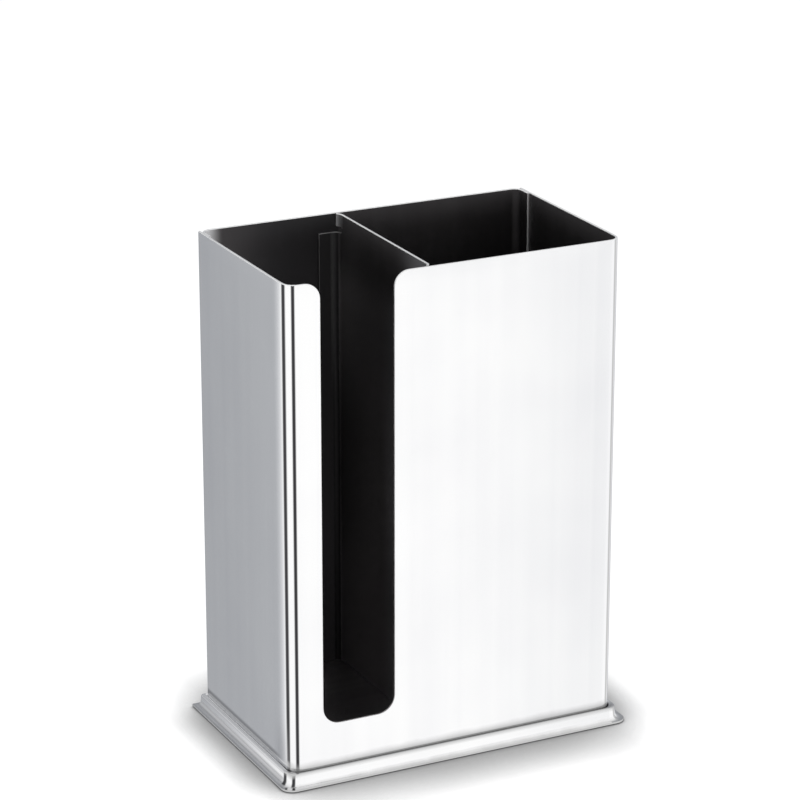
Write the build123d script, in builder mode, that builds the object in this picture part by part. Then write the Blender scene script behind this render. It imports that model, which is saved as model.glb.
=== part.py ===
import os

from build123d import *

os.makedirs("parts", exist_ok=True)

# A counter-top holder of bent stainless sheet with two open-topped compartments: napkins behind
# a finger slot on the left, chopsticks on a lift-out drain floor on the right. Millimetres.
# The origin is on the counter under the middle of the body, +Z is up, the slot faces -Y.

# Driving dimensions
body_width = 180.0  # outer face to outer face of the two sides
body_depth = 105.0  # front face to back face
rim_height = 256.0  # counter to rim
wall = 1.2  # sheet of the body and the divider
front_bend = 6.5  # outer radius of the two front bends
back_bend = 5.0  # outer radius of the back panel's two bends
side_setback = 1.0  # the sides stop this far short of the back face
flange = 12.0  # width of every spot-welded flange
edge_break = 0.25  # deburred edge of the cut sheet
slot_left = 17.3  # left side's outer face to the near edge of the finger slot
slot_right = 56.0  # left side's outer face to its far edge
slot_foot = 30.0  # counter to its lowest edge
slot_foot_radius = 9.0
slot_mouth_radius = 8.0
divider_left = 76.0  # left side's outer face to the middle of the divider
divider_bend = 4.6  # outer radius of the divider's bends
flange_drop = 9.5  # rim to the top of the divider's flanges
relief = 3.0  # height of the slit between the divider's flanges and its rim tabs
pad_height = 2.0  # counter to the underside of the base
plinth_sheet = 0.9  # sheet of the base moulding
plinth_reach = 6.0  # the moulding's lip stands out this far from the body
plinth_crest = 7.9  # counter to the top of the moulding's bead
bead_width = 2.5  # how far the folded bead stands out from the body
bead_radius = 1.2
cove_radius = 2.4
cove_corner = (2.7, 1.8)  # where the bead's face and the lip would meet, out from the body and up
crease_radius = 0.6  # rounding of the bead where it leaves the wall
lip_clearance = 0.5  # counter to the underside of the lip
moulding_steps = 12  # the moulding's outline is drawn at this many levels
web_width = 18.0  # the moulding's web reaches this far in under the body
pad_radius = 6.0
rest_sheet = 1.0
rest_width = 8.0  # both legs of the angles that carry the drain floor
rest_length = 70.0
floor_height = 14.0  # counter to the compartments' floor
drain_height = 135.0  # counter to the top of the drain floor
drain_skirt = 12.0  # depth of the drain floor's turned-down edge
drain_clearance = 0.8  # gap round the drain floor
drain_sheet = 1.0
drain_bend = 2.0  # outer radius of its edge
hole_radius = 2.5
hole_pitch = 12.0
hole_rows = 7

# Planes and levels that follow from them
half_width = body_width / 2
half_depth = body_depth / 2
inner_x = half_width - wall
inner_y = half_depth - wall
shell_foot = pad_height + plinth_sheet
shell_height = rim_height - shell_foot
divider_x = divider_left - half_width
window_width = body_width - 2 * web_width
window_depth = body_depth - 2 * web_width
divider_face = divider_x + wall / 2
drain_foot = drain_height - drain_skirt


# Front shell: the slotted front and both sides, bent from one sheet.
with BuildPart() as front_shell:
    with BuildSketch(Plane.XY.offset(shell_foot)):
        with BuildLine():
            FilletPolyline(
                (-half_width, half_depth - side_setback),
                (-half_width, -half_depth),
                (half_width, -half_depth),
                (half_width, half_depth - side_setback),
                radius=front_bend,
            )
            offset(amount=wall, side=Side.LEFT)
        make_face()
    extrude(amount=shell_height)
    # The finger slot is open at the rim and has rounded foot corners.
    with BuildSketch(Plane.XZ.offset(half_depth - 2 * wall)) as slot_shape:
        with Locations(((slot_left + slot_right) / 2 - half_width, slot_foot)):
            Rectangle(slot_right - slot_left, rim_height, align=(Align.CENTER, Align.MIN))
        fillet(slot_shape.vertices().group_by(Axis.Y)[0], slot_foot_radius)
    extrude(amount=4 * wall, mode=Mode.SUBTRACT)
    # Its mouth flares out to the rim in two rounded corners.
    rim_edges = front_shell.edges().group_by(Axis.Z)[-1].filter_by(Axis.Y)
    fillet(rim_edges.filter_by_position(Axis.X, front_bend - half_width, 0), slot_mouth_radius)
    chamfer(front_shell.faces().filter_by(Axis.Z).sort_by(Axis.Z)[-2:].edges(), edge_break)
front_shell.part.label = "front_shell"
export_step(front_shell.part, "parts/front_shell.step")


# Back panel: its flanges lie inside the sides and are spot-welded to them.
with BuildPart() as back_panel:
    with BuildSketch(Plane.XY.offset(shell_foot)):
        with BuildLine():
            FilletPolyline(
                (-inner_x, half_depth - flange),
                (-inner_x, half_depth),
                (inner_x, half_depth),
                (inner_x, half_depth - flange),
                radius=back_bend,
            )
            offset(amount=wall, side=Side.RIGHT)
        make_face()
    extrude(amount=shell_height)
    chamfer(back_panel.faces().sort_by(Axis.Z)[-1].edges(), edge_break)
back_panel.part.label = "back_panel"
export_step(back_panel.part, "parts/back_panel.step")


# Divider: a blade with a flange at each end, both turned towards the napkins. Above the flanges
# the blade runs on as two tabs that meet the front and back sheets.
with BuildPart() as divider:
    with BuildSketch(Plane.XY.offset(floor_height)):
        with BuildLine():
            FilletPolyline(
                (divider_face - flange, inner_y),
                (divider_face, inner_y),
                (divider_face, -inner_y),
                (divider_face - flange, -inner_y),
                radius=divider_bend,
            )
            offset(amount=wall, side=Side.RIGHT)
        make_face()
    extrude(amount=rim_height - flange_drop - floor_height)
    # Between the slits and the rim only the flat blade is left.
    with BuildSketch(Plane.XY.offset(rim_height - flange_drop)):
        with Locations((divider_x, 0)):
            Rectangle(wall, 2 * (inner_y - divider_bend))
    extrude(amount=flange_drop)
    with BuildSketch(Plane.XY.offset(rim_height - flange_drop + relief)):
        with Locations((divider_x, 0)):
            Rectangle(wall, 2 * inner_y)
    extrude(amount=flange_drop - relief)
    chamfer(divider.faces().sort_by(Axis.Z)[-1].edges(), edge_break)
divider.part.label = "divider"
export_step(divider.part, "parts/divider.step")


# Floor pan: the floor of both compartments, with a turned-down flange welded to each wall.
with BuildPart() as floor_pan:
    with BuildSketch(Plane.XY.offset(floor_height - wall)) as floor_plan:
        Rectangle(2 * inner_x, 2 * inner_y)
        fillet(floor_plan.vertices().group_by(Axis.Y)[0], front_bend - wall)
        # The back corners step round the back panel's flanges and bends.
        for side in (-1, 1):
            with Locations((side * inner_x, half_depth)):
                Rectangle(2 * wall, 2 * flange, mode=Mode.SUBTRACT)
        back_corners = floor_plan.vertices().group_by(Axis.Y)[-1]
        fillet(back_corners, back_bend - wall)
    extrude(amount=wall)
    with BuildSketch(Plane.XY.offset(shell_foot)):
        for side in (-1, 1):
            with Locations((0, side * (inner_y - wall / 2))):
                Rectangle(2 * (inner_x - front_bend), wall)
            with Locations((side * (inner_x - wall / 2), (front_bend - flange) / 2)):
                Rectangle(wall, 2 * inner_y - front_bend - flange)
    extrude(amount=floor_height - wall / 2 - shell_foot)
floor_pan.part.label = "floor_pan"
export_step(floor_pan.part, "parts/floor_pan.step")


# Base plinth: a pressed moulding run right round the foot of the body. From under the walls the
# sheet turns up against them, folds over in a bead, then flares through a cove into a thin lip.
with BuildPart() as base_plinth:
    # The moulding's upper side, then its underside one sheet lower. Its corners stay as tight at
    # the lip as they are at the walls.
    for inset, mode in ((0, Mode.ADD), (plinth_sheet, Mode.SUBTRACT)):
        with BuildLine(mode=Mode.PRIVATE) as moulding:
            FilletPolyline(
                (bead_width - bead_radius, plinth_crest - inset),
                (bead_width - inset, plinth_crest - inset),
                (cove_corner[0] - inset, cove_corner[1] - inset),
                (plinth_reach, lip_clearance + plinth_sheet - inset),
                radius=[bead_radius - inset, cove_radius + inset],
            )
        for step in range(moulding_steps + 1):
            reach, level, _ = moulding.line @ (step / moulding_steps)
            with BuildSketch(Plane.XY.offset(level)) as outline:
                Rectangle(body_width + 2 * reach, body_depth + 2 * reach)
                fillet(outline.vertices().group_by(Axis.Y)[0], front_bend)
                fillet(outline.vertices().group_by(Axis.Y)[-1], side_setback)
        loft(ruled=True, mode=mode)
        if mode == Mode.ADD:
            extrude(base_plinth.faces().sort_by(Axis.Z)[0], amount=plinth_sheet)
    # The leg that stands against the walls, and the web under them with a window in the middle.
    for foot, top, gap, mode in (
        (pad_height, plinth_crest - plinth_sheet, plinth_sheet, Mode.ADD),
        (shell_foot, plinth_crest, 0, Mode.SUBTRACT),
    ):
        with BuildSketch(Plane.XY.offset(foot)) as outline:
            Rectangle(body_width + 2 * gap, body_depth + 2 * gap)
            fillet(outline.vertices().group_by(Axis.Y)[0], front_bend + gap)
            fillet(outline.vertices().group_by(Axis.Y)[-1], side_setback + gap)
        extrude(amount=top - foot, mode=mode)
    with BuildSketch(Plane.XY.offset(pad_height)):
        RectangleRounded(window_width, window_depth, front_bend)
    extrude(amount=plinth_sheet, mode=Mode.SUBTRACT)
    crest = base_plinth.faces().sort_by(Axis.Z)[-1]
    fillet(crest.inner_wires()[0].edges(), crease_radius)
base_plinth.part.label = "base_plinth"
export_step(base_plinth.part, "parts/base_plinth.step")


# Foot pads: four rubber discs glued under the corners of the plinth's web.
with BuildPart() as foot_pads:
    with BuildSketch():
        with GridLocations(body_width - web_width, body_depth - web_width, 2, 2):
            Circle(pad_radius)
    extrude(amount=pad_height)
    chamfer(foot_pads.faces().filter_by(Axis.Z).group_by(Axis.Z)[0].edges(), pad_height / 5)
foot_pads.part.label = "foot_pads"
export_step(foot_pads.part, "parts/foot_pads.step")


# Rest angles: two short angle strips that carry the drain floor, one on the divider and one on
# the right side.
for name, face_x, inward in (("rest_angle_divider", divider_face, 1), ("rest_angle_side", inner_x, -1)):
    with BuildPart() as rest_angle:
        with BuildSketch(Plane.XZ.offset(-rest_length / 2)):
            with BuildLine():
                Polyline(
                    (face_x, drain_foot - rest_width),
                    (face_x, drain_foot),
                    (face_x + inward * rest_width, drain_foot),
                )
                offset(amount=rest_sheet, side=Side.RIGHT if inward > 0 else Side.LEFT)
            make_face()
        extrude(amount=rest_length)
    rest_angle.part.label = name
    export_step(rest_angle.part, f"parts/{name}.step")


# Drain floor: a perforated plate with turned-down edges that drops into the right compartment
# and lifts straight out.
with BuildPart() as drain_floor:
    drain_low = divider_face + drain_clearance
    drain_high = inner_x - wall - drain_clearance
    with BuildSketch(Plane.XY.offset(drain_foot)):
        with Locations(((drain_low + drain_high) / 2, 0)):
            RectangleRounded(drain_high - drain_low, 2 * (inner_y - drain_clearance), front_bend)
    extrude(amount=drain_skirt)
    fillet(drain_floor.faces().sort_by(Axis.Z)[-1].edges(), drain_bend)
    offset(amount=-drain_sheet, openings=drain_floor.faces().sort_by(Axis.Z)[0])
    with Locations(((drain_low + drain_high) / 2, 0, drain_height)):
        with GridLocations(hole_pitch, hole_pitch, hole_rows, hole_rows):
            Hole(hole_radius)
drain_floor.part.label = "drain_floor"
export_step(drain_floor.part, "parts/drain_floor.step")
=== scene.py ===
import math

import bmesh
import bpy
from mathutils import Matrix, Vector


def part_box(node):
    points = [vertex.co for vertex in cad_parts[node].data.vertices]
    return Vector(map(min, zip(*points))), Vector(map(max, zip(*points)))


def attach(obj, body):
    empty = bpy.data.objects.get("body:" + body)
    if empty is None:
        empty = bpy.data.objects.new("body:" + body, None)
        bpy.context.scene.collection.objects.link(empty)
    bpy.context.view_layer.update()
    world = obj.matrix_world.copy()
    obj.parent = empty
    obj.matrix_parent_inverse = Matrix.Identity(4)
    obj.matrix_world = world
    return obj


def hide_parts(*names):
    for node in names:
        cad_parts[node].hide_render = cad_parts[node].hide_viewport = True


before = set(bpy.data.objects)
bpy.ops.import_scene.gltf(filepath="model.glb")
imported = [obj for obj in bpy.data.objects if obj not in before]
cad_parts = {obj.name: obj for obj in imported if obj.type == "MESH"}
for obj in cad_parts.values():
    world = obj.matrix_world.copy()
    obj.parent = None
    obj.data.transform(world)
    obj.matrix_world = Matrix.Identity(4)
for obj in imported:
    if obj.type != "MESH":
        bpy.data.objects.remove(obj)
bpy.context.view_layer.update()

# The view: a long lens to the left of the slotted front, looking down on the holder at about
# 20 degrees. The holder fills the lower three quarters of the frame.
mm = 0.001
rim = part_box("front_shell")[1].z
camera_azimuth = math.radians(-26.574)
camera_height = math.radians(20.487)
camera_distance = 1.65893
aim_azimuth = math.radians(0.169)
aim_height = math.radians(-1.389)
frame_width = 800
focal_pixels = 3312.93


def towards(azimuth, height):
    """Direction seen from the object; azimuth 0 is straight in front of the slot."""
    across = math.cos(height)
    return Vector((math.sin(azimuth) * across, -math.cos(azimuth) * across, math.sin(height)))


lens = bpy.data.cameras.new("camera")
lens.sensor_width = 36
lens.lens = focal_pixels * lens.sensor_width / frame_width
camera = bpy.data.objects.new("camera", lens)
camera.location = Vector((0, 0, rim / 2)) + towards(camera_azimuth, camera_height) * camera_distance
gaze = towards(camera_azimuth + aim_azimuth, camera_height + aim_height)
camera.rotation_euler = gaze.to_track_quat("Z", "Y").to_euler()
bpy.context.scene.collection.objects.link(camera)
bpy.context.scene.camera = camera
bpy.context.scene.view_settings.view_transform = "Standard"

# The light: a white tent of cloth panels round the table, paler in front and greyer behind, and
# one soft lamp overhead. Each panel is an azimuth, with 0 straight in front, and a brightness.
ambient = 0.55
dusk = 0.045
tent_panels = (
    (-180, 0.42), (-165, 0.36), (-158, 0.37), (-155, 0.42), (-152, 0.56), (-149.5, 0.8),
    (-146, 0.96), (-130, 1.0), (24, 1.0), (28, 1.0), (30, 0.9), (32, 0.89), (45, 0.97),
    (90, 0.97), (108, 0.85), (125, 0.5), (153, 0.36), (170, 0.38),
)


def wire(tree, kind, sockets, **settings):
    """A node of this kind, set up, with its inputs given values or linked to other outputs."""
    made = tree.nodes.new("ShaderNode" + kind)
    for name, value in settings.items():
        setattr(made, name, value)
    for socket, source in sockets.items():
        if isinstance(source, bpy.types.NodeSocket):
            tree.links.new(source, made.inputs[socket])
        else:
            made.inputs[socket].default_value = source
    return made


world = bpy.data.worlds.new("studio")
world.use_nodes = True
bpy.context.scene.world = world
tree = world.node_tree
tree.nodes.clear()
direction = wire(tree, "TexCoord", {}).outputs["Generated"]
parts = wire(tree, "SeparateXYZ", {0: direction}).outputs
forward = wire(tree, "Math", {0: parts["Y"], 1: -1}, operation="MULTIPLY").outputs[0]
turn = wire(tree, "Math", {0: parts["X"], 1: forward}, operation="ARCTAN2").outputs[0]
round_room = {"Value": turn, "From Min": -math.pi, "From Max": math.pi}
place = wire(tree, "MapRange", round_room).outputs[0]
panels = wire(tree, "ValToRGB", {0: place})
for number, (azimuth, value) in enumerate(tent_panels):
    spot = (azimuth + 180) / 360
    stop = panels.color_ramp.elements[0] if number == 0 else panels.color_ramp.elements.new(spot)
    stop.position = spot
    cool = dusk * (1 - value)
    stop.color = (value * (1 - cool), value, value * (1 + 2 * cool), 1)
panels.color_ramp.elements.remove(panels.color_ramp.elements[-1])
height = {"Value": parts["Z"], "From Min": 0.5, "From Max": 0.92}
above = wire(tree, "MapRange", height).outputs[0]
white = (1, 1, 1, 1)
cloth = wire(tree, "Mix", {0: above, 6: panels.outputs[0], 7: white}, data_type="RGBA").outputs[2]
tent = wire(tree, "Background", {0: cloth, 1: 1.0}).outputs[0]
fill = wire(tree, "Background", {0: white, 1: ambient}).outputs[0]
backdrop = wire(tree, "Background", {0: white, 1: 1.0}).outputs[0]
ray = wire(tree, "LightPath", {}).outputs
mirrored = wire(
    tree, "Math", {0: ray["Is Glossy Ray"], 1: ray["Is Transmission Ray"]}, operation="MAXIMUM"
).outputs[0]
lit = wire(tree, "MixShader", {0: mirrored, 1: fill, 2: tent}).outputs[0]
seen = wire(tree, "MixShader", {0: ray["Is Camera Ray"], 1: lit, 2: backdrop}).outputs[0]
wire(tree, "OutputWorld", {0: seen})

softbox = bpy.data.lights.new("softbox", "AREA")
softbox.shape = "DISK"
softbox.size = 1.2
softbox.energy = 16
lamp = bpy.data.objects.new("softbox", softbox)
lamp.location = (-0.5, -0.9, 1.9)
lamp.rotation_euler = lamp.location.to_track_quat("Z", "Y").to_euler()
lamp.visible_glossy = False
bpy.context.scene.collection.objects.link(lamp)

# The table: a pale top. An ambient-occlusion mask darkens its colour and glow, a painted shadow
# under what stands on it, further out before and behind it than beside it. The steel doesn't
# mirror the table: it shows the tent right down to it.
contact_reach = 52 * mm
side_reach = 32 * mm
contact_depth = 3.3
contact_darkest = 0.1
table_white = (0.8, 0.8, 0.8, 1)
table_glow = 0.54
table_size = 4
floor_mesh = bpy.data.meshes.new("floor")
top = bmesh.new()
bmesh.ops.create_grid(top, x_segments=1, y_segments=1, size=table_size)
top.to_mesh(floor_mesh)
top.free()
floor = bpy.data.objects.new("floor", floor_mesh)
floor.visible_glossy = False
bpy.context.scene.collection.objects.link(floor)
table = bpy.data.materials.new("pale_table")
table.use_nodes = True
tree = table.node_tree
shader = tree.nodes["Principled BSDF"]
shader.inputs["Roughness"].default_value = 0.35
shader.inputs["Emission Color"].default_value = white
given = wire(tree, "TexCoord", {}).outputs["Object"]
away = wire(tree, "VectorMath", {0: given}, operation="ABSOLUTE").outputs[0]
sideways = wire(tree, "SeparateXYZ", {0: away}).outputs["X"]
foot_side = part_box("base_plinth")[1].x
corner_blend = 10 * mm
beside = {
    "Value": sideways, "From Min": foot_side - corner_blend, "From Max": foot_side + corner_blend,
    "To Min": contact_reach, "To Max": side_reach,
}
reach = wire(tree, "MapRange", beside).outputs[0]
# Painted shadow: the occlusion darkens the table's colour and glow.
openness = wire(tree, "AmbientOcclusion", {"Distance": reach}, samples=16).outputs["AO"]
deepened = wire(tree, "Math", {0: openness, 1: contact_depth}, operation="POWER").outputs[0]
open_sky = wire(tree, "MapRange", {"Value": deepened, "To Min": contact_darkest}).outputs[0]
pale = wire(tree, "Mix", {0: open_sky, 6: (0, 0, 0, 1), 7: table_white}, data_type="RGBA")
tree.links.new(pale.outputs[2], shader.inputs["Base Color"])
eye = wire(tree, "LightPath", {}).outputs["Is Camera Ray"]
shine = wire(tree, "Math", {0: eye, 1: table_glow}, operation="MULTIPLY").outputs[0]
glow = wire(tree, "Math", {0: shine, 1: open_sky}, operation="MULTIPLY").outputs[0]
tree.links.new(glow, shader.inputs["Emission Strength"])
floor_mesh.materials.append(table)

# Front shell: the slotted front and both sides, pressed from one polished stainless sheet. Its
# blank is cut flat, its corners rounded, and it is folded at the two front corners. The sheet
# eases into each bend over a few millimetres, as it does over a press brake's die.
shell_lo, shell_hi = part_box("front_shell")
wall = 1.2 * mm
shell_bend = 6.5 * mm
ease_run = 9 * mm
ease_turn = math.radians(3.5)
slot_left = 17.3 * mm
slot_right = 56.0 * mm
slot_foot = 30.0 * mm
slot_foot_radius = 9 * mm
slot_mouth_radius = 8 * mm
cut_rounding = 0.25 * mm
fold_step = math.radians(5)
smooth_limit = math.radians(18)
snap = 1e-7
along_axis = Vector((1, 0, 0))
quarter = math.pi / 2


def folded(along, start, heading, legs):
    """Where a point that far along the flat sheet stands once each (length, turn) leg is bent."""
    x, y = start
    for length, turn in legs:
        step = min(max(along, 0), length)
        if turn:
            radius = length / turn
            x += radius * (math.sin(heading + step / radius) - math.sin(heading))
            y -= radius * (math.cos(heading + step / radius) - math.cos(heading))
            heading += step / radius
        else:
            x += step * math.cos(heading)
            y += step * math.sin(heading)
        along -= length
    return x, y


def blank(outline, rounded):
    """The sheet lying flat: its outline as (along, level), with the numbered corners rounded."""
    sheet = bmesh.new()
    corners = [sheet.verts.new((along, 0, level)) for along, level in outline]
    sheet.faces.new(corners)
    for number, radius in rounded.items():
        bmesh.ops.bevel(
            sheet, geom=[corners[number]], offset=radius, offset_type="OFFSET", segments=10,
            profile=0.5, affect="VERTICES", material=-1,
        )
    return sheet


def fold(sheet, start, heading, legs):
    """Scores the flat sheet across every leg that turns, then folds it along them."""
    passed = 0
    for length, turn in legs:
        steps = max(4, math.ceil(abs(turn) / fold_step)) if turn else 1
        for step in range(steps):
            line = along_axis * (passed + length * step / steps)
            everything = sheet.verts[:] + sheet.edges[:] + sheet.faces[:]
            bmesh.ops.bisect_plane(
                sheet, geom=everything, dist=snap, plane_co=line, plane_no=along_axis
            )
        passed += length
    for point in sheet.verts:
        point.co.x, point.co.y = folded(point.co.x, start, heading, legs)
    sheet.normal_update()


def thicken(sheet, thickness):
    """Gives the bent sheet its thickness and eases its cut edges. The outside takes material 0,
    the inside 1 and the cut edge 2."""
    outside = set(sheet.faces)
    made = bmesh.ops.solidify(sheet, geom=sheet.faces[:], thickness=thickness)["geom"]
    inside = {face for face in made if isinstance(face, bmesh.types.BMFace)}
    for face in sheet.faces:
        face.material_index = 0 if face in outside else 1 if face in inside else 2
    rims = [
        edge for edge in sheet.edges
        if len({face.material_index for face in edge.link_faces}) == 2
        and max(face.material_index for face in edge.link_faces) == 2
    ]
    eased = bmesh.ops.bevel(
        sheet, geom=rims, offset=cut_rounding, offset_type="OFFSET", segments=2, profile=0.5,
        affect="EDGES", material=-1,
    )
    for face in eased["faces"]:
        face.material_index = 2


def piece(sheet, name, finishes, slot, *nodes):
    """Makes the finished mesh an object of the holder's body that stands for these CAD nodes."""
    for face in sheet.faces:
        face.smooth = True
    for edge in sheet.edges:
        edge.smooth = edge.is_manifold and edge.calc_face_angle() < smooth_limit
    mesh = bpy.data.meshes.new(name)
    sheet.to_mesh(mesh)
    sheet.free()
    for material in finishes:
        mesh.materials.append(material)
    made = bpy.data.objects.new(name, mesh)
    bpy.context.scene.collection.objects.link(made)
    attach(made, "holder")
    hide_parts(*nodes)
    return made


def group(name, inputs, outputs):
    """An empty shader group with these named inputs, as (kind, value), and outputs."""
    made = bpy.data.node_groups.new(name, "ShaderNodeTree")
    for label, (kind, value) in inputs.items():
        socket = made.interface.new_socket(label, in_out="INPUT", socket_type="NodeSocket" + kind)
        socket.default_value = value
    for label in outputs:
        made.interface.new_socket(label, in_out="OUTPUT", socket_type="NodeSocketFloat")
    return made


# The grain that rolling leaves in stainless sheet: fine lines one way, broader streaks with
# them, and the slow clouding and unevenness that a polished sheet shows in its reflections.
sheet_grain = group(
    "sheet_grain",
    {"Stretch": ("Vector", (900, 900, 9)), "Cloud Size": ("Float", 16.0)},
    ("Grain", "Streaks", "Cloud", "Scuffs"),
)
given = wire(sheet_grain, "TexCoord", {}).outputs["Object"]
settings = sheet_grain.nodes.new("NodeGroupInput").outputs
result = sheet_grain.nodes.new("NodeGroupOutput").inputs
drawn = wire(
    sheet_grain, "VectorMath", {0: given, 1: settings["Stretch"]}, operation="MULTIPLY"
).outputs[0]
fine = wire(sheet_grain, "TexNoise", {"Vector": drawn, "Scale": 1.0, "Detail": 3.0})
broad = wire(sheet_grain, "TexNoise", {"Vector": drawn, "Scale": 0.12, "Detail": 2.0})
slow = wire(
    sheet_grain, "TexNoise", {"Vector": given, "Scale": settings["Cloud Size"], "Detail": 2.5}
)
mask_source = wire(sheet_grain, "TexNoise", {"Vector": given, "Scale": 240.0, "Detail": 4.0})
scuffed = wire(
    sheet_grain, "MapRange", {"Value": mask_source.outputs[0], "From Min": 0.58, "From Max": 0.78}
)
for output, source in zip(result, (fine, broad, slow, scuffed)):
    sheet_grain.links.new(source.outputs[0], output)

# A mask along a level seam, such as where the walls stand in the plinth: full below the level,
# fading out with patchy noise over a height above it. It is strongest along the front and weaker
# behind. Where it darkens a colour along the walls, the plinth and the blade it is painted shade;
# elsewhere it marks rubbed, rougher bands and other tone changes.
seam_mask = group(
    "seam_mask",
    {"Level": ("Float", 0.0), "Height": ("Float", 0.003), "Behind": ("Float", 0.4)},
    ("Seam Mask",),
)
given = wire(seam_mask, "TexCoord", {}).outputs["Object"]
settings = seam_mask.nodes.new("NodeGroupInput").outputs
result = seam_mask.nodes.new("NodeGroupOutput").inputs
where = wire(seam_mask, "SeparateXYZ", {0: given}).outputs
over = wire(
    seam_mask, "Math", {0: where["Z"], 1: settings["Level"]}, operation="SUBTRACT"
).outputs[0]
patchy = wire(seam_mask, "TexNoise", {"Vector": given, "Scale": 90.0, "Detail": 3.0}).outputs[0]
reach = wire(seam_mask, "MapRange", {"Value": patchy, "To Min": 0.7, "To Max": 1.3}).outputs[0]
band = wire(seam_mask, "Math", {0: settings["Height"], 1: reach}, operation="MULTIPLY").outputs[0]
fading = wire(seam_mask, "Math", {0: over, 1: band}, operation="DIVIDE", use_clamp=True)
below_level = wire(seam_mask, "Math", {0: 1.0, 1: fading.outputs[0]}, operation="SUBTRACT").outputs[0]
deep = wire(seam_mask, "Math", {0: below_level, 1: 1.4}, operation="POWER").outputs[0]
front_band = {
    "From Min": shell_lo.y + wall, "From Max": shell_lo.y + shell_bend, "To Min": 1.0
}
front_weight = wire(
    seam_mask, "MapRange", {"Value": where["Y"], "To Max": settings["Behind"], **front_band}
).outputs[0]
gathered = wire(seam_mask, "Math", {0: deep, 1: front_weight}, operation="MULTIPLY").outputs[0]
seam_mask.links.new(gathered, result["Seam Mask"])


def steel(name, bright, dull, smooth, rough, stretch, wave=0.02 * mm):
    """Stainless sheet: its colour runs from dull to bright with the clouding and the grain, its
    roughness from smooth to rough with the scuffs. Stretch draws the grain out along one axis."""
    made = bpy.data.materials.new(name)
    made.use_nodes = True
    tree = made.node_tree
    shader = tree.nodes["Principled BSDF"]
    shader.inputs["Metallic"].default_value = 1
    grain = tree.nodes.new("ShaderNodeGroup")
    grain.node_tree = sheet_grain
    grain.inputs["Stretch"].default_value = stretch
    marks = grain.outputs
    mixed = wire(
        tree, "Mix", {0: 0.35, 2: marks["Cloud"], 3: marks["Streaks"]}, data_type="FLOAT"
    ).outputs[0]
    shown = wire(tree, "MapRange", {"Value": mixed, "From Min": 0.34, "From Max": 0.62}).outputs[0]
    tone = wire(tree, "Mix", {0: shown, 6: (*dull, 1), 7: (*bright, 1)}, data_type="RGBA")
    tree.links.new(tone.outputs[2], shader.inputs["Base Color"])
    worn = wire(
        tree, "Mix", {0: 0.4, 2: marks["Grain"], 3: marks["Scuffs"]}, data_type="FLOAT"
    ).outputs[0]
    sheen = wire(
        tree, "MapRange",
        {"Value": worn, "From Min": 0.2, "From Max": 0.8, "To Min": smooth, "To Max": rough},
    )
    tree.links.new(sheen.outputs[0], shader.inputs["Roughness"])
    uneven = wire(tree, "Bump", {"Height": marks["Cloud"], "Distance": wave}).outputs[0]
    lined = wire(
        tree, "Bump", {"Height": marks["Grain"], "Distance": 0.0004 * mm, "Normal": uneven}
    )
    tree.links.new(lined.outputs[0], shader.inputs["Normal"])
    return made


def finish(material, mask, tone=None, roughness=None):
    """Changes a steel's colour and roughness to these wherever the mask is 1."""
    tree = material.node_tree
    shader = tree.nodes["Principled BSDF"]
    if tone:
        plain = shader.inputs["Base Color"].links[0].from_socket
        toned = wire(tree, "Mix", {0: mask, 6: plain, 7: (*tone, 1)}, data_type="RGBA")
        tree.links.new(toned.outputs[2], shader.inputs["Base Color"])
    if roughness:
        plain = shader.inputs["Roughness"].links[0].from_socket
        dulled = wire(tree, "Mix", {0: mask, 2: plain, 3: roughness}, data_type="FLOAT")
        tree.links.new(dulled.outputs[0], shader.inputs["Roughness"])


def along_seam(material, level, height, behind=1.0):
    """Places the seam group in a material and gives its mask. A negative height runs down."""
    seam = material.node_tree.nodes.new("ShaderNodeGroup")
    seam.node_tree = seam_mask
    for label, value in (("Level", level), ("Height", height), ("Behind", behind)):
        seam.inputs[label].default_value = value
    return seam.outputs["Seam Mask"]


def ramp(material, axis, none, full):
    """A mask that rises along one axis of the object, from none at one place to full at another."""
    tree = material.node_tree
    given = wire(tree, "TexCoord", {}).outputs["Object"]
    place = wire(tree, "SeparateXYZ", {0: given}).outputs[axis]
    rising = {"Value": place, "From Min": none, "From Max": full}
    return wire(tree, "MapRange", rising, interpolation_type="SMOOTHSTEP").outputs[0]


def both(material, first, second):
    """The mask where two masks meet."""
    return wire(
        material.node_tree, "Math", {0: first, 1: second}, operation="MULTIPLY"
    ).outputs[0]


# Two dark lines are painted down each front bend, painted reflections, one near the side and one
# towards the front, and far fainter on the right bend. They are placed by the angle round the
# bend, 0 facing straight forward.
wall_lines = (77, 27.7, 1.0)
right_share = 0.42
bend_reflection = group(
    "bend_reflection",
    {"Side Line": ("Float", 77.0), "Front Line": ("Float", 27.7), "Width": ("Float", 1.0)},
    ("Line",),
)
given = wire(bend_reflection, "TexCoord", {}).outputs["Object"]
settings = bend_reflection.nodes.new("NodeGroupInput").outputs
result = bend_reflection.nodes.new("NodeGroupOutput").inputs
away = wire(bend_reflection, "VectorMath", {0: given}, operation="ABSOLUTE").outputs[0]
sideways = wire(bend_reflection, "SeparateXYZ", {0: away}).outputs["X"]
where = wire(bend_reflection, "SeparateXYZ", {0: given}).outputs
axis_x, axis_y = shell_hi.x - shell_bend, shell_lo.y + shell_bend
outward = wire(bend_reflection, "Math", {0: sideways, 1: axis_x}, operation="SUBTRACT").outputs[0]
ahead = wire(bend_reflection, "Math", {0: axis_y, 1: where["Y"]}, operation="SUBTRACT").outputs[0]
turned = wire(bend_reflection, "Math", {0: outward, 1: ahead}, operation="ARCTAN2").outputs[0]
angle = wire(bend_reflection, "Math", {0: turned}, operation="DEGREES").outputs[0]
lines = []
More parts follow.
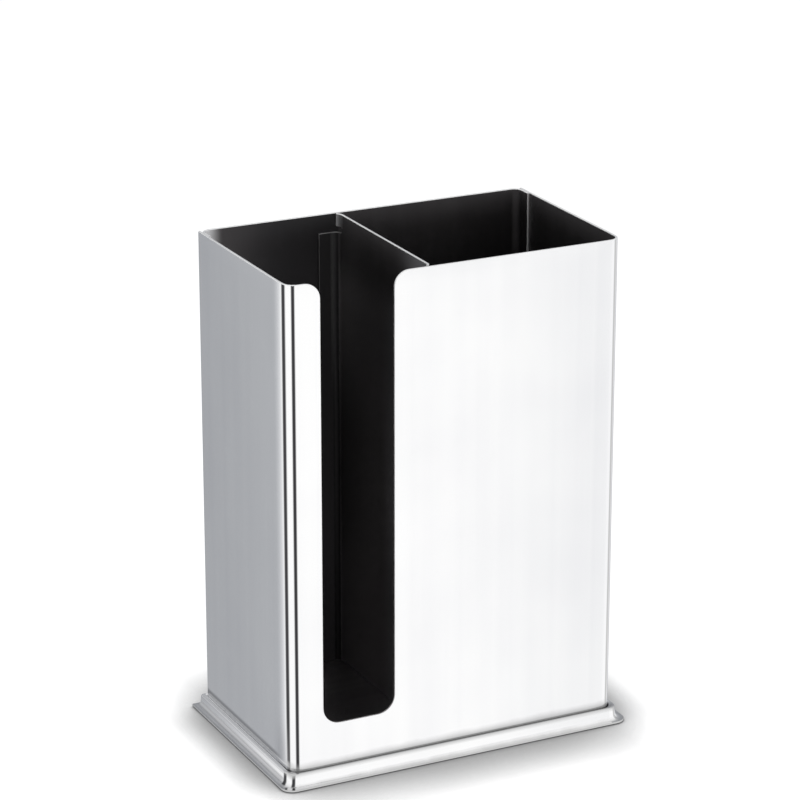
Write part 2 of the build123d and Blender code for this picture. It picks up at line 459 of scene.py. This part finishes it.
for label, core, edge in (("Side Line", 6.5, 17), ("Front Line", 4, 11)):
    off = wire(bend_reflection, "Math", {0: angle, 1: settings[label]}, operation="SUBTRACT").outputs[0]
    wide = wire(bend_reflection, "Math", {0: off, 1: settings["Width"]}, operation="DIVIDE").outputs[0]
    far = wire(bend_reflection, "Math", {0: wide}, operation="ABSOLUTE").outputs[0]
    fading = {"Value": far, "From Min": core, "From Max": edge, "To Min": 1.0, "To Max": 0.0}
    lines.append(wire(bend_reflection, "MapRange", fading, interpolation_type="SMOOTHSTEP").outputs[0])
drawn = wire(bend_reflection, "Math", {0: lines[0], 1: lines[1]}, operation="MAXIMUM").outputs[0]
middle_blend = 10 * mm
across = {
    "Value": where["X"], "From Min": -middle_blend, "From Max": middle_blend, "To Min": 1.0,
    "To Max": right_share,
}
bend_share = wire(bend_reflection, "MapRange", across).outputs[0]
marked = wire(bend_reflection, "Math", {0: drawn, 1: bend_share}, operation="MULTIPLY").outputs[0]
bend_reflection.links.new(marked, result["Line"])


def bend_lines(material, lines):
    """Places the bend group in a material, set to its two lines' angles and width, and gives its
    mask."""
    mask_source = material.node_tree.nodes.new("ShaderNodeGroup")
    mask_source.node_tree = bend_reflection
    for label, value in zip(("Side Line", "Front Line", "Width"), lines):
        mask_source.inputs[label].default_value = value
    return mask_source.outputs["Line"]


# The outside is polished bright, with the bends' painted reflection lines. Painted shade darkens
# the wall just over the plinth's bead in front, and a grey band of painted shade runs over it round
# the sides, which are also painted greyer at the foot beside the front bends. Under the rim the
# front is rubbed a little duller.
plinth_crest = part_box("base_plinth")[1].z
upright = (900, 900, 9)
reflection_line_tone = (0.045, 0.045, 0.048)
polished = steel(
    "polished_sheet", bright=(1.0, 1.0, 1.0), dull=(0.94, 0.94, 0.95), smooth=0.08, rough=0.13,
    stretch=upright,
)
# Painted reflection: the dark lines down the front bends.
finish(polished, bend_lines(polished, wall_lines), tone=reflection_line_tone)
# Painted shade over the plinth's bead, mostly in front.
foot_shade = along_seam(polished, level=plinth_crest, height=4.9 * mm, behind=0.05)
finish(polished, foot_shade, tone=(0.42, 0.42, 0.42))
# Painted shade: a grey band over the bead round the sides.
on_sides = ramp(polished, "Y", shell_lo.y + 1 * mm, shell_lo.y + 7 * mm)
side_band_top = ramp(polished, "Z", plinth_crest + 5.2 * mm, plinth_crest + 2.9 * mm)
side_band_foot = ramp(polished, "Z", plinth_crest + 0.3 * mm, plinth_crest + 1.8 * mm)
side_band_shade = both(polished, on_sides, both(polished, side_band_top, side_band_foot))
finish(polished, side_band_shade, tone=(0.46, 0.46, 0.465))
# Painted shade at the sides' foot beside the front bends.
beside_bend = ramp(polished, "Y", shell_lo.y + 22 * mm, shell_lo.y + 10 * mm)
off_bend = ramp(polished, "Y", shell_lo.y + 4 * mm, shell_lo.y + 9 * mm)
by_foot = ramp(polished, "Z", plinth_crest + 30 * mm, plinth_crest + 4 * mm)
bend_foot_shade = both(polished, both(polished, beside_bend, off_bend), by_foot)
finish(polished, bend_foot_shade, tone=(0.74, 0.74, 0.75))
rim_rub = along_seam(polished, level=rim, height=-9 * mm, behind=0.25)
finish(polished, rim_rub, roughness=0.22)


def satin_inside(name):
    """The satin side of the sheet, painted dark as painted shade for the inside of the holder. It
    is rubbed dull along the rim and painted lighter low down, painted light where the inside is
    deepest."""
    made = steel(
        name, bright=(0.13, 0.123, 0.127), dull=(0.105, 0.099, 0.102), smooth=0.38, rough=0.5,
        stretch=upright,
    )
    # Painted light: lighter low down inside the holder.
    low = ramp(made, "Z", rim - 65 * mm, shell_lo.z + 15 * mm)
    finish(made, low, tone=(0.33, 0.315, 0.32))
    finish(made, along_seam(made, level=rim, height=-14 * mm), roughness=0.58)
    return made


inside_sheet = satin_inside("inside_of_sheet")
cut_edge = steel(
    "cut_edge", bright=(1.0, 1.0, 1.0), dull=(0.94, 0.94, 0.94), smooth=0.5, rough=0.62,
    stretch=(90, 90, 90),
)

tight_turn = quarter - 2 * ease_turn
shell_fold = [
    (ease_run, ease_turn), (shell_bend * tight_turn, tight_turn), (ease_run, ease_turn)
]
fold_length = sum(length for length, turn in shell_fold)
fold_reach = folded(1, (0, 0), 0, shell_fold)[0]
side_run = shell_hi.y - shell_lo.y - fold_reach
front_run = shell_hi.x - shell_lo.x - 2 * fold_reach
shell_length = 2 * side_run + 2 * fold_length + front_run
front_start = side_run + fold_length - fold_reach
shell = blank(
    (
        (0, shell_lo.z),
        (shell_length, shell_lo.z),
        (shell_length, rim),
        (front_start + slot_right, rim),
        (front_start + slot_right, slot_foot),
        (front_start + slot_left, slot_foot),
        (front_start + slot_left, rim),
        (0, rim),
    ),
    {3: slot_mouth_radius, 4: slot_foot_radius, 5: slot_foot_radius, 6: slot_mouth_radius},
)
shell_legs = [(side_run, 0), *shell_fold, (front_run, 0), *shell_fold, (side_run, 0)]
fold(shell, (shell_lo.x, shell_hi.y), -quarter, shell_legs)
thicken(shell, wall)
piece(
    shell, "front_and_sides", (polished, inside_sheet, cut_edge), "polished_steel",
    "front_shell",
)

# Back panel: a plain sheet with a flange turned in at each end. The flanges lie inside the sides
# and are spot-welded to them, so it is seen from behind between the sides' cut edges.
back_lo, back_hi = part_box("back_panel")
back_bend = 5 * mm
back_depth = back_hi.y - back_lo.y
back_width = back_hi.x - back_lo.x
back_fold = (back_bend * quarter, quarter)
back_length = 2 * (back_depth - back_bend) + 2 * back_fold[0] + back_width - 2 * back_bend
back = blank(
    (
        (0, back_lo.z),
        (back_length, back_lo.z),
        (back_length, rim),
        (0, rim),
    ),
    {},
)
back_legs = [
    (back_depth - back_bend, 0),
    back_fold,
    (back_width - 2 * back_bend, 0),
    back_fold,
    (back_depth - back_bend, 0),
]
fold(back, (back_hi.x, back_lo.y), quarter, back_legs)
thicken(back, wall)

# Inside, its left corner is painted near white and made rough near the rim, a painted highlight.
# The napkin bay's wall is painted darker, painted shade, most in its upper part and fading out
# towards that corner.
back_inside = satin_inside("inside_of_back")
near_corner = ramp(back_inside, "X", back_lo.x + 12 * mm, back_lo.x + 3 * mm)
facing = ramp(back_inside, "Y", back_hi.y - 7 * mm, back_hi.y - 3.5 * mm)
upper = ramp(back_inside, "Z", rim - 35 * mm, rim - 8 * mm)
corner_highlight = both(back_inside, both(back_inside, near_corner, facing), upper)
# Painted highlight at the back's left corner near the rim.
finish(back_inside, corner_highlight, tone=(0.97, 0.97, 0.98), roughness=0.8)
napkin_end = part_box("divider")[1].x
# Painted shade on the napkin bay's wall, most in its upper part.
towards_divider = ramp(back_inside, "X", back_lo.x + 8 * mm, napkin_end - 30 * mm)
in_bay = ramp(back_inside, "X", napkin_end, napkin_end - wall)
upper_bay = ramp(back_inside, "Z", rim - 110 * mm, rim - 60 * mm)
bay_shade = both(back_inside, both(back_inside, towards_divider, in_bay), upper_bay)
finish(back_inside, bay_shade, tone=(0.066, 0.064, 0.067))
piece(back, "back_sheet", (polished, back_inside, cut_edge), "polished_steel", "back_panel")

# Divider: a blade across the holder with a flange at each end, both turned towards the napkins
# and welded to the front and back sheets. Slits free the blade above the flanges, and its two
# tabs run on straight to the sheets.
divider_lo, divider_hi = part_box("divider")
divider_bend = 4.6 * mm
flange_drop = 9.5 * mm
relief = 3 * mm
flange = divider_hi.x - divider_lo.x
divider_fold = (divider_bend * quarter, quarter)
blade_start = flange - divider_bend + divider_fold[0]
blade_run = divider_hi.y - divider_lo.y - 2 * divider_bend
divider_length = 2 * blade_start + blade_run
blade_end = blade_start + blade_run
flange_top = rim - flange_drop
tab_foot = flange_top + relief
divider = blank(
    (
        (0, divider_lo.z),
        (divider_length, divider_lo.z),
        (divider_length, flange_top),
        (blade_end, flange_top),
        (blade_end, tab_foot),
        (blade_end + divider_bend, tab_foot),
        (blade_end + divider_bend, rim),
        (blade_start - divider_bend, rim),
        (blade_start - divider_bend, tab_foot),
        (blade_start, tab_foot),
        (blade_start, flange_top),
        (0, flange_top),
    ),
    {},
)
divider_legs = [
    (flange - divider_bend, 0), divider_fold, (blade_run, 0), divider_fold,
    (flange - divider_bend, 0),
]
fold(divider, (divider_lo.x, divider_lo.y), 0, divider_legs)
thicken(divider, wall)

# The blade is painted in bands of light and shade: darkest at the rim, lighter a little below it,
# darker again half way down and lighter at the foot. Below the rim its front half is painted
# lighter, and its front corner at the rim is painted lighter, a painted highlight, and made
# rougher.
# Towards the back it is rubbed duller.
blade = satin_inside("blade_sheet")
for top, foot, tone in (
    (18, 42, (0.3, 0.288, 0.294)),
    (55, 115, (0.15, 0.144, 0.147)),
    (150, 200, (0.25, 0.24, 0.245)),
):
    finish(blade, ramp(blade, "Z", rim - top * mm, rim - foot * mm), tone=tone)
front_half = ramp(blade, "Y", 3 * mm, -14 * mm)
under_rim = ramp(blade, "Z", rim - 20 * mm, rim - 45 * mm)
# Painted light on the front half below the rim.
finish(blade, both(blade, front_half, under_rim), tone=(0.4, 0.405, 0.42))
near_front = ramp(blade, "Y", divider_lo.y + 38 * mm, divider_lo.y + 8 * mm)
near_rim = ramp(blade, "Z", rim - 28 * mm, rim - 6 * mm)
# Painted highlight on the front corner at the rim, which is also rougher.
finish(blade, both(blade, near_front, near_rim), tone=(0.235, 0.235, 0.243), roughness=0.7)
near_back = ramp(blade, "Y", divider_hi.y - 45 * mm, divider_hi.y - 6 * mm)
finish(blade, near_back, roughness=0.56)

# The rear flange is painted darker than the blade and the end of its bend darkest, painted shade.
# In the upper part a painted highlight runs where that bend starts. The rear tab is painted
# bright, a painted highlight, and made a little rough.
bend_shade_tone = (0.03, 0.029, 0.03)
on_flange = ramp(blade, "Y", divider_hi.y - 2.9 * mm, divider_hi.y - 2 * mm)
finish(blade, on_flange, tone=(0.05, 0.048, 0.05))
lower_down = ramp(blade, "Z", rim - 60 * mm, rim - 230 * mm)
finish(blade, both(blade, on_flange, lower_down), tone=(0.095, 0.09, 0.095))
bend_start = divider_lo.x + flange - divider_bend
pressed_to = ramp(blade, "X", bend_start + 0.9 * mm, bend_start + 1.8 * mm)
finish(blade, both(blade, on_flange, pressed_to), tone=bend_shade_tone)
into_bend = ramp(blade, "X", bend_start - 0.6 * mm, bend_start + 0.6 * mm)
out_of_reach = ramp(blade, "Z", rim - 60 * mm, rim - 110 * mm)
shaded = both(blade, both(blade, on_flange, into_bend), out_of_reach)
finish(blade, shaded, tone=bend_shade_tone)
line_start = ramp(blade, "X", bend_start - 1.4 * mm, bend_start - 0.6 * mm)
line_end = ramp(blade, "X", bend_start + 0.9 * mm, bend_start + 0.1 * mm)
in_light = ramp(blade, "Z", rim - 100 * mm, rim - 40 * mm)
bend_highlight = both(blade, both(blade, line_start, line_end), in_light)
# Painted highlight where the bend starts.
finish(blade, bend_highlight, tone=(0.1, 0.1, 0.1))
back_tab = ramp(blade, "Y", divider_hi.y - 7 * mm, divider_hi.y - 4 * mm)
on_tab = ramp(blade, "Z", tab_foot - 1 * mm, tab_foot)
finish(blade, both(blade, back_tab, on_tab), tone=(0.5, 0.5, 0.51), roughness=0.45)

# The blade's cut edges are bright at the rim. Below the slits they are painted darker, painted
# shade, and a few millimetres further down darker still.
blade_edge = steel(
    "blade_edge", bright=(1.0, 1.0, 1.0), dull=(0.9, 0.9, 0.9), smooth=0.5, rough=0.62,
    stretch=(90, 90, 90),
)
below_slits = along_seam(blade_edge, level=flange_top + 1 * mm, height=1 * mm)
finish(blade_edge, below_slits, tone=(0.28, 0.28, 0.28))
further_down = along_seam(blade_edge, level=flange_top - 3 * mm, height=1 * mm)
finish(blade_edge, further_down, tone=(0.165, 0.163, 0.165))
piece(divider, "divider_blade", (blade, blade, blade_edge), "satin_steel", "divider")

# Base plinth: a pressed moulding run round the foot. The sheet turns up against the walls, folds
# over in a bead, falls through a cove and ends in a thin lip. Its corners are mitred tight.
plinth_lo, plinth_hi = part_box("base_plinth")
plinth_sheet = 0.9 * mm
plinth_reach = plinth_hi.x - shell_hi.x
bead_radius = 1.2 * mm
bead_face = 2.5 * mm
cove_radius = 2.4 * mm
lip_fall = math.radians(7)
face_lean = math.radians(4)
rear_corner = 1 * mm
web_width = 18 * mm
moulding_step = math.radians(9)
leg_height = plinth_crest - bead_radius - shell_lo.z
bead_turn = quarter - face_lean
cove_turn = bead_turn - lip_fall
bead_fold = (bead_radius * bead_turn, -bead_turn)
cove_fold = (cove_radius * cove_turn, cove_turn)
bead_across, bead_down = folded(1, (0, 0), 0, [bead_fold])
cove_across, cove_down = folded(1, (0, 0), -bead_turn, [cove_fold])
across_left = plinth_reach - (bead_face - bead_radius) - bead_across - cove_across
down_left = plinth_crest + bead_down + cove_down - (plinth_lo.z + plinth_sheet)
spread = math.cos(face_lean + lip_fall)
face_run = (down_left * math.cos(lip_fall) - across_left * math.sin(lip_fall)) / spread
lip_run = (across_left * math.cos(face_lean) - down_left * math.sin(face_lean)) / spread
moulding = [
    (leg_height, 0),
    (bead_radius * quarter, -quarter),
    (bead_face - 2 * bead_radius, 0),
    bead_fold,
    (face_run, 0),
    cove_fold,
    (lip_run, 0),
]


def outline(sheet, half_width, half_depth, front_radius, rear_radius):
    """Draws a rectangle's outline with rounded corners at the shell's foot and gives its edges."""
    others = set(sheet.edges)
    bmesh.ops.create_grid(sheet, x_segments=1, y_segments=1, size=1)
    corners = list({point for edge in sheet.edges if edge not in others for point in edge.verts})
    bmesh.ops.scale(sheet, vec=(half_width, half_depth, 0), verts=corners)
    bmesh.ops.translate(sheet, vec=(0, 0, shell_lo.z), verts=corners)
    for radius, side in ((front_radius, -1), (rear_radius, 1)):
        bmesh.ops.bevel(
            sheet, geom=[point for point in corners if point.is_valid and point.co.y * side > 0],
            offset=radius, offset_type="OFFSET", segments=12, profile=0.5, affect="VERTICES",
            material=-1,
        )
    bmesh.ops.delete(sheet, geom=sheet.faces[:], context="FACES_ONLY")
    return [edge for edge in sheet.edges if edge not in others]


base = bmesh.new()
window = outline(base, shell_hi.x - web_width, -shell_lo.y - web_width, shell_bend, shell_bend)
loop = outline(base, shell_hi.x, -shell_lo.y, shell_bend, rear_corner)
bmesh.ops.bridge_loops(base, edges=window + loop)
stops = []
for length, turn in moulding:
    before = stops[-1] if stops else 0
    steps = max(1, math.ceil(abs(turn) / moulding_step))
    stops += [before + length * (step + 1) / steps for step in range(steps)]
was = folded(0, (0, shell_lo.z), quarter, moulding)
for stop in stops:
    now = folded(stop, (0, shell_lo.z), quarter, moulding)
    grown = bmesh.ops.extrude_edge_only(base, edges=loop)["geom"]
    points = [part for part in grown if isinstance(part, bmesh.types.BMVert)]
    loop = [part for part in grown if isinstance(part, bmesh.types.BMEdge)]
    for point in points:
        point.co.x += math.copysign(now[0] - was[0], point.co.x)
        point.co.y += math.copysign(now[0] - was[0], point.co.y)
        point.co.z += now[1] - was[1]
    was = now
bmesh.ops.recalc_face_normals(base, faces=base.faces)
crown = max(base.faces, key=lambda face: face.calc_center_median().z)
if crown.normal.z < 0:
    bmesh.ops.reverse_faces(base, faces=base.faces)
base.normal_update()
thicken(base, plinth_sheet)

# The moulding is polished, with its grain running round it, and painted darker at the lip, painted
# shade where it meets the table. On the sides and behind, the cove's foot and the bead's shoulder
# are painted darker, painted shade, and the cove's foot is rougher. Two dark lines are painted down
# each front corner, painted reflections, as on the walls above.
face_top = plinth_crest - bead_radius
level_grain = (60, 60, 900)
pressed = steel(
    "pressed_moulding", bright=(1.0, 1.0, 1.0), dull=(0.95, 0.95, 0.955), smooth=0.1, rough=0.16,
    stretch=level_grain,
)
plinth_lines = (67.7, 38.2, 0.6)
over_lip = ramp(pressed, "Z", 1.5 * mm, 2.1 * mm)
below_bead = ramp(pressed, "Z", plinth_crest - 0.2 * mm, plinth_crest - 0.9 * mm)
# Painted shade at the lip, near the table.
finish(pressed, along_seam(pressed, level=0, height=3.2 * mm, behind=0.7), tone=(0.18, 0.18, 0.18))
finish(pressed, along_seam(pressed, level=plinth_crest, height=-2 * mm), roughness=0.24)
# Painted shade on the cove's foot and the bead's shoulder, on the sides and behind.
cove_foot = both(pressed, over_lip, ramp(pressed, "Z", 5.2 * mm, 3.6 * mm))
off_front = ramp(pressed, "Y", shell_lo.y - 1 * mm, shell_lo.y + 7 * mm)
finish(pressed, both(pressed, cove_foot, off_front), tone=(0.6, 0.6, 0.61), roughness=0.3)
shoulder_top = ramp(pressed, "Z", plinth_crest - 0.1 * mm, plinth_crest - 0.5 * mm)
shoulder_foot = ramp(pressed, "Z", face_top - 0.5 * mm, face_top)
shoulder = both(pressed, off_front, both(pressed, shoulder_top, shoulder_foot))
finish(pressed, shoulder, tone=(0.72, 0.72, 0.73))
# Painted reflection: the dark lines down the moulding's front corners.
corner_lines = both(pressed, bend_lines(pressed, plinth_lines), both(pressed, over_lip, below_bead))
finish(pressed, corner_lines, tone=reflection_line_tone)

# Painted shade fills the groove between the wall and the bead, most in front. It thins out over
# the bead's crown, by how far out and down from the groove a point lies.
tree = pressed.node_tree
given = wire(tree, "TexCoord", {}).outputs["Object"]
away = wire(tree, "VectorMath", {0: given}, operation="ABSOLUTE").outputs[0]
crest_line = (shell_hi.x, -shell_lo.y, plinth_crest)
gaps = wire(tree, "VectorMath", {0: away, 1: crest_line}, operation="SUBTRACT").outputs[0]
gap = wire(tree, "SeparateXYZ", {0: gaps}).outputs
out = wire(tree, "Math", {0: gap["X"], 1: gap["Y"]}, operation="MAXIMUM").outputs[0]
past = wire(tree, "Math", {0: out, 1: gap["Z"]}, operation="SUBTRACT").outputs[0]
thinning = {"Value": past, "From Min": 1.6 * mm, "From Max": 4.4 * mm, "To Min": 1.0, "To Max": 0.0}
groove_shade = wire(tree, "MapRange", thinning).outputs[0]
depth = wire(tree, "SeparateXYZ", {0: given}).outputs["Y"]
front_weight = wire(tree, "MapRange", {"Value": depth, "To Max": 0.0, **front_band}).outputs[0]
finish(pressed, both(pressed, groove_shade, front_weight), tone=(0.55, 0.55, 0.55))

# The lip's cut edge is coloured darker than the sheet, painted shade where it meets the table, and
# a little lighter in its lowest 1.6 mm.
moulding_edge = steel(
    "moulding_edge", bright=(0.6, 0.6, 0.6), dull=(0.5, 0.5, 0.5), smooth=0.3, rough=0.45,
    stretch=(300, 300, 300),
)
finish(moulding_edge, along_seam(moulding_edge, level=0, height=1.6 * mm), tone=(0.75, 0.75, 0.75))
piece(
    base, "plinth_moulding", (pressed, inside_sheet, moulding_edge), "plinth_steel",
    "base_plinth",
)

# Floor pan: a shallow welded tray that closes the foot, of the same sheet as the divider. Its
# grain runs across the holder, and it is darker towards its bottom.
pan_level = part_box("floor_pan")[0].z
pan_steel = steel(
    "pan_sheet", bright=(0.42, 0.41, 0.42), dull=(0.3, 0.29, 0.3), smooth=0.35, rough=0.55,
    stretch=(9, 900, 900),
)
pan_bottom = along_seam(pan_steel, level=pan_level, height=6 * mm)
finish(pan_steel, pan_bottom, tone=(0.12, 0.115, 0.11), roughness=0.7)
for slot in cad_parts["floor_pan"].material_slots:
    slot.material = pan_steel

# Rest angles: two folded strips, spot-welded to the divider and to the side, that the drain floor
# lies on. Their grain runs along them, from front to back.
angle_steel = steel(
    "angle_sheet", bright=(0.5, 0.495, 0.5), dull=(0.4, 0.395, 0.4), smooth=0.26, rough=0.42,
    stretch=(900, 9, 900),
)
for node in ("rest_angle_divider", "rest_angle_side"):
    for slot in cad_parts[node].material_slots:
        slot.material = angle_steel

# Drain floor: a loose perforated sheet with its edges folded down, which lifts out for washing.
# It is a lighter satin steel, rubbed by the chopsticks' ends and dulled round its rim.
drain_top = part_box("drain_floor")[1].z
drain_steel = steel(
    "drain_sheet", bright=(0.62, 0.615, 0.62), dull=(0.46, 0.455, 0.46), smooth=0.22, rough=0.4,
    stretch=(9, 700, 700), wave=0.05 * mm,
)
round_rim = along_seam(drain_steel, level=drain_top, height=-3 * mm)
finish(drain_steel, round_rim, tone=(0.5, 0.49, 0.48), roughness=0.5)
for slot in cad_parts["drain_floor"].material_slots:
    slot.material = drain_steel

# Foot pads: four discs of matt rubber stuck under the web, which keep the steel off the table.
# Their moulded skin is finely pitted, and dust greys it.
rubber = bpy.data.materials.new("pad_rubber")
rubber.use_nodes = True
tree = rubber.node_tree
shader = tree.nodes["Principled BSDF"]
given = wire(tree, "TexCoord", {}).outputs["Object"]
pitted = wire(tree, "TexNoise", {"Vector": given, "Scale": 1800.0, "Detail": 3.0}).outputs[0]
dusty = wire(tree, "TexNoise", {"Vector": given, "Scale": 160.0, "Detail": 4.0}).outputs[0]
dust = wire(tree, "MapRange", {"Value": dusty, "From Min": 0.4, "From Max": 0.8}).outputs[0]
skin = wire(
    tree, "Mix", {0: dust, 6: (0.018, 0.018, 0.02, 1), 7: (0.09, 0.088, 0.085, 1)},
    data_type="RGBA",
).outputs[2]
matt = wire(tree, "MapRange", {"Value": dusty, "To Min": 0.6, "To Max": 0.95}).outputs[0]
bumpy = wire(tree, "Bump", {"Height": pitted, "Distance": 0.05 * mm}).outputs[0]
tree.links.new(skin, shader.inputs["Base Color"])
tree.links.new(matt, shader.inputs["Roughness"])
tree.links.new(bumpy, shader.inputs["Normal"])
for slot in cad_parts["foot_pads"].material_slots:
    slot.material = rubber
